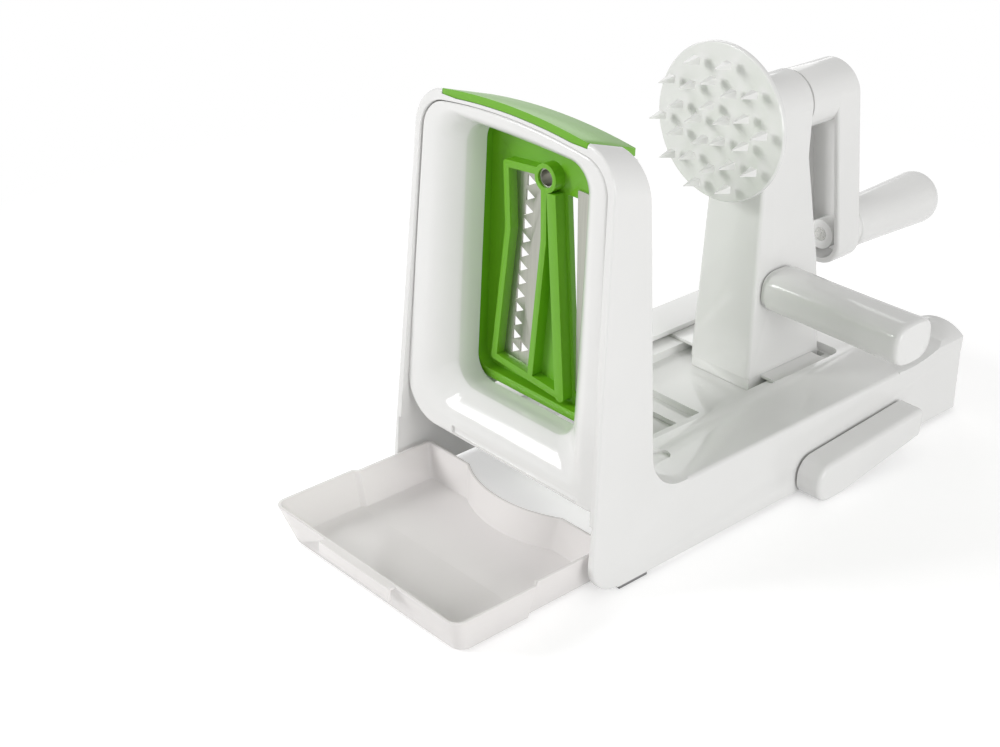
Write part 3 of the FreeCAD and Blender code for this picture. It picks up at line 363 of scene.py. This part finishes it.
panel_back = 15.2
panel_rings.append(panel_ring(0.0, panel_back, 1.0))
panel_rings.append(panel_ring(0.0, panel_back - 0.6))
for turn in range(5):
    angle = math.radians(90 * turn / 4)
    panel_rings.append(panel_ring(0.0, rim_radius - rim_radius * math.sin(angle),
                                  rim_radius - rim_radius * math.cos(angle)))
for step in range(1, 4):
    panel_rings.append(panel_ring(face_share * step / 3, 0.0, rim_radius * (1 - step / 3)))
dish_steps = 14
for step in range(1, dish_steps + 1):
    along = step / dish_steps
    fall = dish_depth * along ** dish_curve
    panel_rings.append(panel_ring(face_share + (1 - face_share) * along, fall))
tunnel_stations = (
    (9.6, 0.15), (14.0, 0.2), (19.0, 0.25), (20.6, 0.3), (20.8, -0.6), (20.8, -2.2), (16.0, -2.4),
)
for depth, grow in tunnel_stations:
    panel_rings.append(panel_ring(1.0, depth, grow))
panel_mesh = skin_rings("front_panel_ring", panel_rings, True)
outward(panel_mesh)
panel_piece = bpy.data.objects.new("front_panel_ring", panel_mesh)
bpy.context.scene.collection.objects.link(panel_piece)


def block_mesh(name, low, high, edge):
    """A block between two corners with small rounded edges."""
    shape = bmesh.new()
    bmesh.ops.create_cube(shape, size=1.0)
    for vertex in shape.verts:
        vertex.co = Vector([a + (b - a) * (c + 0.5) for a, b, c in zip(low, high, vertex.co)])
    bmesh.ops.bevel(shape, geom=shape.edges[:], offset=edge, segments=3, affect="EDGES", profile=0.5)
    bmesh.ops.recalc_face_normals(shape, faces=shape.faces)
    mesh = bpy.data.meshes.new(name)
    shape.to_mesh(mesh)
    shape.free()
    return mesh


drip_depth = 1.3 * mm
drip_lip = 1.2 * mm
drip_height = 3.6 * mm
drip_half = 39.0 * mm
drip_shift = 10.0 * mm
drip_low_z = panel_low.z + drip_lip
drip_cut = bpy.data.objects.new("drip_cut", block_mesh(
    "drip_cut", (drip_shift - drip_half, panel_low.y - 5 * mm, drip_low_z),
    (drip_shift + drip_half, panel_low.y + drip_depth, drip_low_z + drip_height), 0.4 * mm))
bpy.context.scene.collection.objects.link(drip_cut)
drip_groove = panel_piece.modifiers.new("drip groove", "BOOLEAN")
drip_groove.operation = "DIFFERENCE"
drip_groove.solver = "EXACT"
drip_groove.object = drip_cut
finish_mesh(panel_piece)
bpy.data.objects.remove(drip_cut)
smooth_by_angle(panel_piece.data, 35)
panel_piece.data.materials.clear()
panel_piece.data.materials.append(shell_white)
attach(panel_piece, "frame")
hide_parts("front_panel")

# Blade cartridge: one green moulding with its arched cap, ribs and coring boss. The steel is moulded
# in: a toothed plate, a straight blade and a short ring that cuts the core.
green = moulded_plastic("green cartridge plastic", (0.155, 0.44, 0.012), 0.30, 0.06)
rounded_copy("blade_frame", "green_cartridge", "cartridge", 0.35 * mm, green, 2)


def ground_steel(name, colour, gloss, stretch):
    """Rolled or ground steel with fine lines along one direction."""
    material = bpy.data.materials.new(name)
    material.use_nodes = True
    tree = material.node_tree
    shader = tree.nodes["Principled BSDF"]
    shader.inputs["Metallic"].default_value = 1.0
    place = tree.nodes.new("ShaderNodeTexCoord")
    turn = tree.nodes.new("ShaderNodeMapping")
    turn.inputs["Scale"].default_value = stretch
    lines = tree.nodes.new("ShaderNodeTexNoise")
    lines.inputs["Scale"].default_value = 900.0
    lines.inputs["Detail"].default_value = 4.0
    tint = tree.nodes.new("ShaderNodeMix")
    tint.data_type = "RGBA"
    tint.inputs["A"].default_value = [c * 0.8 for c in colour] + [1]
    tint.inputs["B"].default_value = [min(c * 1.12, 1) for c in colour] + [1]
    polish = tree.nodes.new("ShaderNodeMapRange")
    polish.inputs["To Min"].default_value = gloss - 0.08
    polish.inputs["To Max"].default_value = gloss + 0.1
    bump = tree.nodes.new("ShaderNodeBump")
    bump.inputs["Strength"].default_value = 0.15
    bump.inputs["Distance"].default_value = 0.0001
    tree.links.new(place.outputs["Object"], turn.inputs["Vector"])
    tree.links.new(turn.outputs["Vector"], lines.inputs["Vector"])
    tree.links.new(lines.outputs["Fac"], tint.inputs["Factor"])
    tree.links.new(lines.outputs["Fac"], polish.inputs["Value"])
    tree.links.new(lines.outputs["Fac"], bump.inputs["Height"])
    tree.links.new(tint.outputs["Result"], shader.inputs["Base Color"])
    tree.links.new(polish.outputs["Result"], shader.inputs["Roughness"])
    tree.links.new(bump.outputs["Normal"], shader.inputs["Normal"])
    return material


blade_steel = ground_steel("blade steel", (0.50, 0.50, 0.45), 0.34, (1.0, 1.0, 0.04))
rounded_copy("julienne_blade", "toothed_blade", "cartridge", 0.06 * mm, blade_steel, 1)
rounded_copy("slicing_blade", "straight_blade", "cartridge", 0.06 * mm, blade_steel, 1)
rounded_copy("coring_ring", "core_cutter", "cartridge", 0.08 * mm, blade_steel, 1)


# Juice tray: a thin tray with drafted walls, a finger lip and a notch that clears the suction housing.
# It is moulded in milky polypropylene, which lets what lies behind it show faintly through.
def milky_plastic(name, colour, gloss, cover):
    """Thin translucent plastic: cover is the share of what lies behind that it hides."""
    material = moulded_plastic(name, colour, gloss, 0.02)
    shader = material.node_tree.nodes["Principled BSDF"]
    shader.inputs["IOR"].default_value = 1.49
    shader.inputs["Alpha"].default_value = cover
    return material


tray_plastic = milky_plastic("milky tray plastic", (0.98, 0.955, 0.945), 0.16, 0.78)
rounded_copy("juice_tray", "clear_tray", "tray", 0.45 * mm, tray_plastic, 2)

# Carriage: the white tower on its slide plate, with the side grip that pushes it forward. The grip is
# a hollow moulding with a recessed neck, screwed on through the tower's wall.
part_white = moulded_plastic("white moving plastic", plastic_white, 0.13)
rounded_copy("carriage_tower", "tower", "carriage", 0.6 * mm, part_white)
rounded_copy("carriage_slide_plate", "slide_plate", "carriage", 0.3 * mm, part_white, 2)
grip_low, grip_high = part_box("push_handle")
grip_length = grip_high.x - grip_low.x
grip_y = (grip_low.y + grip_high.y) / 2
grip_z = (grip_low.z + grip_high.z) / 2
grip_half_y = (grip_high.y - grip_low.y) / 2
grip_half_z = (grip_high.z - grip_low.z) / 2
grip_stations = (
    (0.0, 0.80), (0.0, 0.885), (0.028, 0.89), (0.036, 0.90), (0.038, 0.955), (0.046, 0.975), (0.09, 0.97),
    (0.3, 0.955), (0.6, 0.965), (0.85, 0.985), (0.945, 1.0), (0.965, 1.0), (0.982, 0.985), (0.994, 0.95),
    (1.0, 0.90), (1.0, 0.6), (1.0, 0.0),
)


grip_squareness = 2.9


def grip_ring(share, scale, count=96):
    """A soft oval section at a share of the grip's length."""
    ring = []
    for step in range(count):
        angle = 2 * math.pi * step / count
        roundness = 2.0 / grip_squareness
        c, s = math.cos(angle), math.sin(angle)
        ring.append((
            grip_low.x + share * grip_length,
            grip_y + grip_half_y * scale * math.copysign(abs(c) ** roundness, c),
            grip_z + grip_half_z * scale * math.copysign(abs(s) ** roundness, s),
        ))
    return ring


grip_rings = [grip_ring(0.0, 0.0)] + [grip_ring(*station) for station in grip_stations]
grip_mesh = skin_rings("side_grip", grip_rings, False)
outward(grip_mesh)
grip = add_piece("side_grip", grip_mesh, "carriage", part_white, 40)
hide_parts("push_handle")

# Spiked disc: a white moulded disc with pyramid spikes in three rings, on a short hub. The spikes are
# all alike, so one rule places them.
disc_low, disc_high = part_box("spiked_disc")
disc_radius = (disc_high.x - disc_low.x) / 2
disc_z = (disc_high.z + disc_low.z) / 2
solid_spike_height = 7.0 * mm
disc_front = disc_low.y + solid_spike_height
disc_depth = disc_high.y - disc_front
bore_radius = 4.05 * mm
disc_profile = (
    (0.0, 0.0), (disc_radius - 1.3 * mm, 0.0), (disc_radius - 0.5 * mm, 0.25 * mm), (disc_radius, 1.0 * mm),
    (disc_radius, 2.2 * mm), (disc_radius - 0.4 * mm, 2.8 * mm), (disc_radius - 1.2 * mm, 3.0 * mm),
    (12.6 * mm, 3.0 * mm), (11.4 * mm, 3.1 * mm), (11.0 * mm, 3.5 * mm),
    (11.0 * mm, disc_depth), (bore_radius, disc_depth), (bore_radius, 1.2 * mm), (0.0, 1.2 * mm),
)


def turned(name, profile, x, y, z, count=96):
    """A body of revolution about an axis along Y; the profile is (radius, distance along Y)."""
    rings = []
    for radius, along in profile:
        ring = []
        for step in range(count):
            angle = 2 * math.pi * step / count
            ring.append((x + radius * math.cos(angle), y + along, z + radius * math.sin(angle)))
        rings.append(ring)
    mesh = skin_rings(name, rings, False)
    outward(mesh)
    return mesh


disc_mesh = turned("disc_plate", disc_profile, 0, disc_front, disc_z)
disc_piece = add_piece("disc_plate", disc_mesh, "crank", part_white)
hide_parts("spiked_disc")
spike_rings = ((5, 8.5 * mm, 29.0), (10, 20.0 * mm, 23.0), (10, 29.3 * mm, 6.0))
spike_height = 9.0 * mm
spike_root = 0.1 * mm


def spikes_tree(ring_count):
    """Instances of one spike round circles, whose count, radius and turn are inputs."""
    tree = bpy.data.node_groups.new("disc spikes", "GeometryNodeTree")
    tree.is_modifier = True
    face = tree.interface
    face.new_socket("Geometry", in_out="OUTPUT", socket_type="NodeSocketGeometry")
    face.new_socket("Spike Width", in_out="INPUT", socket_type="NodeSocketFloat")
    face.new_socket("Spike Height", in_out="INPUT", socket_type="NodeSocketFloat")
    face.new_socket("Material", in_out="INPUT", socket_type="NodeSocketMaterial")
    for index in range(ring_count):
        face.new_socket(f"Ring {index + 1} Count", in_out="INPUT", socket_type="NodeSocketInt")
        face.new_socket(f"Ring {index + 1} Radius", in_out="INPUT", socket_type="NodeSocketFloat")
        face.new_socket(f"Ring {index + 1} Turn", in_out="INPUT", socket_type="NodeSocketFloat")
    given = tree.nodes.new("NodeGroupInput")
    made = tree.nodes.new("NodeGroupOutput")
    spike = tree.nodes.new("GeometryNodeMeshCone")
    spike.inputs["Vertices"].default_value = 4
    spike.inputs["Radius Top"].default_value = 0.25 * mm
    tree.links.new(given.outputs["Spike Width"], spike.inputs["Radius Bottom"])
    tree.links.new(given.outputs["Spike Height"], spike.inputs["Depth"])
    upright = tree.nodes.new("GeometryNodeTransform")
    upright.inputs["Rotation"].default_value = (math.radians(90), 0, 0)
    square = tree.nodes.new("GeometryNodeTransform")
    square.inputs["Rotation"].default_value = (0, 0, math.radians(45))
    tree.links.new(spike.outputs["Mesh"], square.inputs["Geometry"])
    tree.links.new(square.outputs["Geometry"], upright.inputs["Geometry"])
    join = tree.nodes.new("GeometryNodeJoinGeometry")
    for index in range(ring_count):
        circle = tree.nodes.new("GeometryNodeMeshCircle")
        tree.links.new(given.outputs[f"Ring {index + 1} Count"], circle.inputs["Vertices"])
        tree.links.new(given.outputs[f"Ring {index + 1} Radius"], circle.inputs["Radius"])
        spin = tree.nodes.new("ShaderNodeCombineXYZ")
        spin.inputs["X"].default_value = math.radians(90)
        tree.links.new(given.outputs[f"Ring {index + 1} Turn"], spin.inputs["Y"])
        stand = tree.nodes.new("GeometryNodeTransform")
        tree.links.new(spin.outputs[0], stand.inputs["Rotation"])
        stand.inputs["Translation"].default_value = (0, disc_front + spike_root - spike_height / 2, disc_z)
        tree.links.new(circle.outputs["Mesh"], stand.inputs["Geometry"])
        put = tree.nodes.new("GeometryNodeInstanceOnPoints")
        tree.links.new(stand.outputs["Geometry"], put.inputs["Points"])
        tree.links.new(upright.outputs["Geometry"], put.inputs["Instance"])
        tree.links.new(put.outputs["Instances"], join.inputs["Geometry"])
    real = tree.nodes.new("GeometryNodeRealizeInstances")
    paint = tree.nodes.new("GeometryNodeSetMaterial")
    tree.links.new(given.outputs["Material"], paint.inputs["Material"])
    tree.links.new(join.outputs["Geometry"], real.inputs["Geometry"])
    tree.links.new(real.outputs["Geometry"], paint.inputs["Geometry"])
    tree.links.new(paint.outputs["Geometry"], made.inputs["Geometry"])
    return tree


def set_inputs(modifier, tree, values):
    for item in tree.interface.items_tree:
        if item.in_out == "INPUT" and item.name in values:
            modifier[item.identifier] = values[item.name]


spike_values = {"Spike Width": 2.5 * mm, "Spike Height": spike_height, "Material": part_white}
for index, (count, radius, degrees) in enumerate(spike_rings):
    spike_values[f"Ring {index + 1} Count"] = count
    spike_values[f"Ring {index + 1} Radius"] = radius
    spike_values[f"Ring {index + 1} Turn"] = -math.radians(degrees)
spikes = bpy.data.objects.new("disc_spikes", bpy.data.meshes.new("disc_spikes"))
bpy.context.scene.collection.objects.link(spikes)
spike_rule = spikes.modifiers.new("spikes", "NODES")
spike_rule.node_group = spikes_tree(len(spike_rings))
set_inputs(spike_rule, spike_rule.node_group, spike_values)
finish_mesh(spikes)
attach(spikes, "crank")

# Crank: the channelled arm with its hub, and the smooth round grip that spins on a steel spindle.
rounded_copy("crank_arm", "channelled_arm", "crank", 0.6 * mm, part_white)
knob_low, knob_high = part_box("crank_knob")
knob_z = (knob_low.z + knob_high.z) / 2
knob_length = knob_high.y - knob_low.y
knob_collar = 3.7
knob_root = 12.0
knob_flare = 1.75
knob_profile = [(0.0, 0.4), (10.2, 0.0), (10.9, 0.3), (11.1, 1.0), (11.1, 2.9), (11.6, 3.1),
                (knob_root, knob_collar)]
knob_round = 8.0
knob_straight = knob_length / mm - knob_collar - knob_round
for step in range(1, 13):
    along = step / 12
    knob_profile.append((knob_root + knob_flare * along ** 1.2, knob_collar + knob_straight * along))
for step in range(1, 13):
    angle = math.radians(90 * step / 12)
    knob_profile.append((knob_root + knob_flare - knob_round * (1 - math.cos(angle)),
                         knob_collar + knob_straight + knob_round * math.sin(angle)))
knob_profile += [(3.5, knob_length / mm), (0.0, knob_length / mm)]
knob_points = [(radius * mm, along * mm) for radius, along in knob_profile]
knob_mesh = turned("round_grip", knob_points, 0, knob_low.y, knob_z)
knob_piece = add_piece("round_grip", knob_mesh, "knob", part_white, 40)
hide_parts("crank_knob")

# Suction lever: a solid white lever on the right side, pressed on a steel cross shaft.
rounded_copy("suction_lever", "side_lever", "lever", 0.9 * mm, shell_white)

# Suction housing and its works: the white housing shows through the well in the deck. The cam and
# plunger are natural acetal, the screws and shafts zinc-plated steel, the cup and feet grey rubber.
rounded_copy("suction_housing", "round_housing", "frame", 0.4 * mm, shell_white, 2)
plated_steel = ground_steel("plated steel", (0.66, 0.66, 0.64), 0.26, (1.0, 1.0, 1.0))
for node in ("slide_screws", "handle_screw", "housing_screws", "crank_shaft", "crank_washer", "crank_screw",
             "knob_spindle", "knob_washer", "lever_shaft"):
    dress(node, plated_steel)
acetal = moulded_plastic("natural acetal", (0.72, 0.70, 0.64), 0.42)
for node in ("bush_front", "bush_rear", "suction_cam", "cup_stem"):
    dress(node, acetal)


def soft_rubber(name, colour):
    material = moulded_plastic(name, colour, 0.62, 0.12)
    material.node_tree.nodes["Principled BSDF"].inputs["Specular IOR Level"].default_value = 0.3
    return material


grey_rubber = soft_rubber("grey rubber", (0.24, 0.24, 0.24))
for node in ("suction_cup", "feet"):
    dress(node, grey_rubber)
